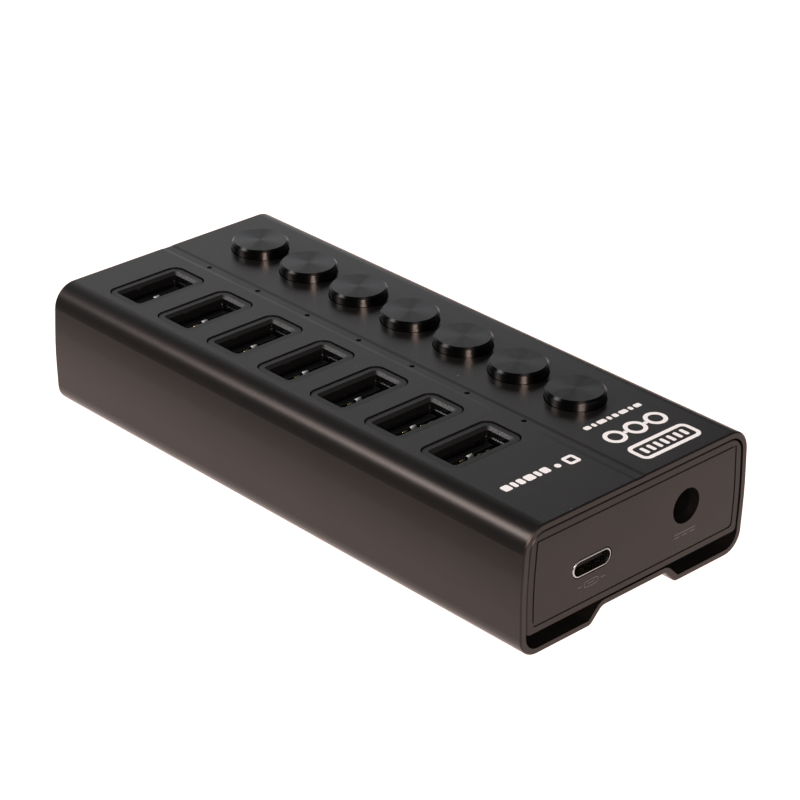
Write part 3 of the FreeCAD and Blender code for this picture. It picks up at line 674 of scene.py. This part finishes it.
def usb_c_contacts(material):
    """The rows of contacts on both faces of the USB-C tongue."""
    low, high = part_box("usb_c_tongue")
    centre = (low + high) / 2
    half_tongue = USBC_TONGUE_HALF_MM * MM
    tip_x = high.x - USBC_CONTACT_SETBACK_MM * MM
    foot_x = tip_x - USBC_CONTACT_LENGTH_MM * MM
    half_width = USBC_CONTACT_WIDTH_MM / 2 * MM
    builder = bmesh.new()
    for face in (-1, 1):
        for i in range(USBC_CONTACT_COUNT):
            y = centre.y + (i - (USBC_CONTACT_COUNT - 1) / 2) * USBC_CONTACT_PITCH_MM * MM
            z = centre.z + face * half_tongue
            loop = [
                Vector((foot_x, y - half_width, z)), Vector((tip_x, y - half_width, z)),
                Vector((tip_x, y + half_width, z)), Vector((foot_x, y + half_width, z)),
            ]
            prism(builder, loop, Vector((0, 0, face * USBC_CONTACT_RAISE_MM * MM)))
    piece = new_piece("usb_c_contact_rows", builder, material, smooth=False)


# ---- marks ----
def bar(builder, place, u, v, width, height, radius, lift):
    """A round-cornered bar centred on (u, v)."""
    loop = rounded_loop(lambda a, b: place(u + a, v + b), width, height, radius)
    prism(builder, loop, lift)


def outline(builder, place, u, v, width, height, radius, line, lift):
    """A rounded rectangle drawn as a line."""
    def shifted(a, b):
        return place(u + a, v + b)
    outer = rounded_loop(shifted, width, height, radius)
    inner_radius = max(radius - line, SMALLEST_MARK_RADIUS_MM)
    inner = rounded_loop(shifted, width - 2 * line, height - 2 * line, inner_radius)
    ring_prism(builder, outer, inner, lift)


def dashes(builder, place, layout, lift):
    """A row of round-cornered dashes of different widths."""
    position, row, height, radius, gap, widths = layout
    for width in widths:
        bar(builder, place, position + width / 2, row, width, height, radius, lift)
        position += width + gap


def large_mark(builder, surface_z, lift):
    """A picture of the hub, three linked rings and a row of dashes. The rows run towards the ports."""
    def place(u, v):
        corner_x, corner_y = LARGE_MARK_CORNER_MM
        return Vector(((corner_x + v) * MM, (corner_y - u) * MM, surface_z))

    picture_u, picture_v = HUB_PICTURE_MIDDLE_MM
    outline(builder, place, picture_u, picture_v, *HUB_PICTURE_SIZE_MM, HUB_PICTURE_RADIUS_MM,
            MARK_LINE_MM, lift)
    for i in range(PORT_COUNT):
        bar_u = PICTURE_BAR_FIRST_MM + PICTURE_BAR_PITCH_MM * i
        bar(builder, place, bar_u, picture_v, *PICTURE_BAR_SIZE_MM, PICTURE_BAR_RADIUS_MM, lift)
    for i in range(RING_COUNT):
        ring_u = RING_FIRST_MM + RING_PITCH_MM * i
        outline(builder, place, ring_u, RING_ROW_MM, RING_ACROSS_MM, RING_ACROSS_MM, RING_ACROSS_MM / 2,
                MARK_LINE_MM, lift)
    for i in range(RING_COUNT - 1):
        link_u = RING_FIRST_MM + RING_PITCH_MM * (i + 0.5)
        bar(builder, place, link_u, RING_ROW_MM, RING_LINK_LENGTH_MM, MARK_LINE_MM,
            RING_LINK_RADIUS_MM, lift)
    dashes(builder, place, LARGE_DASHES_MM, lift)


def small_mark(builder, surface_z, lift):
    """A square, a dot and a row of dashes, beside the ports."""
    def place(u, v):
        corner_x, corner_y = SMALL_MARK_CORNER_MM
        return Vector(((corner_x + v) * MM, (corner_y - u) * MM, surface_z))

    outline(builder, place, SQUARE_MIDDLE_MM, SQUARE_MIDDLE_MM, SQUARE_ACROSS_MM, SQUARE_ACROSS_MM,
            SQUARE_RADIUS_MM, SQUARE_LINE_MM, lift)
    bar(builder, place, DOT_MIDDLE_MM, SQUARE_MIDDLE_MM, DOT_ACROSS_MM, DOT_ACROSS_MM,
        DOT_ACROSS_MM / 2, lift)
    dashes(builder, place, SMALL_DASHES_MM, lift)


def top_marks(material):
    """The plain marks printed on the top of the case."""
    surface_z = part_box("case_sleeve")[1].z
    lift = Vector((0, 0, INK_THICKNESS_MM * MM))
    builder = bmesh.new()
    large_mark(builder, surface_z, lift)
    small_mark(builder, surface_z, lift)
    new_piece("top_print", builder, material, smooth=False)


def plug_mark(builder, face_x, lift):
    """The outline of a small plug between two dashes."""
    def place(u, v):
        middle_y, middle_z = USBC_MARK_MIDDLE_MM
        return Vector((face_x, (middle_y + u) * MM, (middle_z + v) * MM))

    outline(builder, place, 0.0, 0.0, *PLUG_OUTLINE_SIZE_MM, PLUG_OUTLINE_RADIUS_MM, PLUG_LINE_MM, lift)
    bar(builder, place, 0.0, 0.0, *PLUG_TONGUE_SIZE_MM, FAINT_RADIUS_MM, lift)
    for side in (-1, 1):
        bar(builder, place, side * PLUG_SIDE_DASH_MM, 0.0, PLUG_SIDE_DASH_LENGTH_MM, FAINT_LINE_MM,
            FAINT_RADIUS_MM, lift)


def direct_current_mark(builder, face_x, lift):
    """A long line over three dashes, the usual sign for direct current."""
    def place(u, v):
        middle_y, middle_z = JACK_MARK_MIDDLE_MM
        return Vector((face_x, (middle_y + u) * MM, (middle_z + v) * MM))

    bar(builder, place, 0.0, JACK_LINE_ROW_MM, JACK_LINE_LENGTH_MM, FAINT_LINE_MM, FAINT_RADIUS_MM, lift)
    for i in (-1, 0, 1):
        bar(builder, place, JACK_DASH_PITCH_MM * i, -JACK_LINE_ROW_MM, JACK_DASH_LENGTH_MM, FAINT_LINE_MM,
            FAINT_RADIUS_MM, lift)


def socket_marks(material):
    """The faint marks under the two sockets of the end plate."""
    face_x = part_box("socket_end_plate")[1].x
    lift = Vector((INK_THICKNESS_MM * MM, 0, 0))
    builder = bmesh.new()
    plug_mark(builder, face_x, lift)
    direct_current_mark(builder, face_x, lift)
    new_piece("socket_marks", builder, material, smooth=False)


# ---- studio ----
def make_camera():
    """The main camera."""
    camera = bpy.data.objects.new("camera", bpy.data.cameras.new("camera"))
    bpy.context.scene.collection.objects.link(camera)
    camera.data.lens = CAMERA_LENS_MM
    camera.data.sensor_width = SENSOR_MM
    camera.data.clip_start = CAMERA_NEAREST
    camera.location = CAMERA_PLACE
    direction = Vector(CAMERA_TARGET) - Vector(CAMERA_PLACE)
    roll = Quaternion((0, 0, 1), math.radians(CAMERA_ROLL_DEGREES))
    camera.rotation_mode = "QUATERNION"
    camera.rotation_quaternion = direction.to_track_quat("-Z", "Y") @ roll
    bpy.context.scene.camera = camera


def flat_sheet(name, corners, material):
    """One flat face with the given corners."""
    builder = bmesh.new()
    builder.faces.new([builder.verts.new(corner) for corner in corners])
    mesh = bpy.data.meshes.new(name)
    builder.to_mesh(mesh)
    builder.free()
    sheet = bpy.data.objects.new(name, mesh)
    bpy.context.scene.collection.objects.link(sheet)
    mesh.materials.append(material)
    return sheet


def make_floor():
    """A pale floor that glows a little, so that it looks white round the hub."""
    look = Look("pale_floor", FLOOR_COLOUR, 0.9)
    look.set("Specular IOR Level", 0.1)
    look.set("Emission Color", (*FLOOR_GLOW, 1.0))
    look.set("Emission Strength", 1.0)
    half = FLOOR_SIZE / 2
    corners = [(u * half, v * half, -FLOOR_DROP) for u, v in SQUARE_CORNERS]
    floor = flat_sheet("floor", corners, look.material)


def make_dim_cards():
    """Nearly black cards beside the hub, which only its reflections see."""
    look = Look("card_black", CARD_COLOUR, 0.9)
    look.set("Emission Color", (1.0, 1.0, 1.0, 1.0))
    look.set("Emission Strength", CARD_GLOW)
    for name, centre, along, width, height in DIM_CARDS:
        half_side = Vector((*along, 0.0)) * width / 2
        half_up = Vector((0.0, 0.0, height / 2))
        corners = [(Vector(centre) + u * half_side + v * half_up) * MM for u, v in SQUARE_CORNERS]
        card = flat_sheet(name, corners, look.material)
        card.visible_camera = False
        card.visible_shadow = False
        card.visible_diffuse = False


def make_world():
    """A dim, even light from all round."""
    world = bpy.data.worlds.new("studio")
    world.use_nodes = True
    background = world.node_tree.nodes["Background"]
    background.inputs["Color"].default_value = (*WORLD_COLOUR, 1.0)
    bpy.context.scene.world = world


def make_lights():
    """The soft lights, each turned towards the middle of the hub."""
    for name, direction, distance, width, height, power, colour in SOFT_LIGHTS:
        data = bpy.data.lights.new(name, "AREA")
        data.shape = "RECTANGLE"
        data.size = width
        data.size_y = height
        data.energy = power
        data.color = colour
        light = bpy.data.objects.new(name, data)
        bpy.context.scene.collection.objects.link(light)
        towards_light = Vector(direction).normalized()
        light.location = Vector(HUB_MIDDLE) + towards_light * distance
        light.rotation_mode = "QUATERNION"
        light.rotation_quaternion = (-towards_light).to_track_quat("-Z", "Y")
        light.visible_camera = False


# ---- build ----
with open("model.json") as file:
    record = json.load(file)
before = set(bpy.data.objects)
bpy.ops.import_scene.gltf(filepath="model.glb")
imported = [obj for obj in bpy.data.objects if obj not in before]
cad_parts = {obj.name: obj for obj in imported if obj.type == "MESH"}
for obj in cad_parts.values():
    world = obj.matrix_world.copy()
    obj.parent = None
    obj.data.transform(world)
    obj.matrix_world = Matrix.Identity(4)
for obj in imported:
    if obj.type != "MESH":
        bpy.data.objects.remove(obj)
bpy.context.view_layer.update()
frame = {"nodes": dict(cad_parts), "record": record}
bpy.context.scene.view_settings.view_transform = "Standard"

make_camera()
make_floor()
make_dim_cards()
make_world()
make_lights()

materials = slot_materials()
dress_nodes(frame, materials)
gold = materials["contact_gold"]
contact_springs(gold)
contact_pads("side_pads", SIDE_PAD_OFFSETS_MM, SIDE_PAD_PROFILE_MM, gold)
contact_pads("proud_pads", PROUD_PAD_OFFSETS_MM, PROUD_PAD_PROFILE_MM, gold)
contact_pads("middle_pads", MIDDLE_PAD_OFFSETS_MM, MIDDLE_PAD_PROFILE_MM, painted_glint_pad())
shell_lips(materials["rim_steel"])
spring_fingers(materials["socket_steel"])
for spring_number in PORT_NUMBERS:
    coil_spring(spring_number, materials["spring_steel"])
usb_c_contacts(gold)
top_marks(printed_ink())
socket_marks(faint_print())
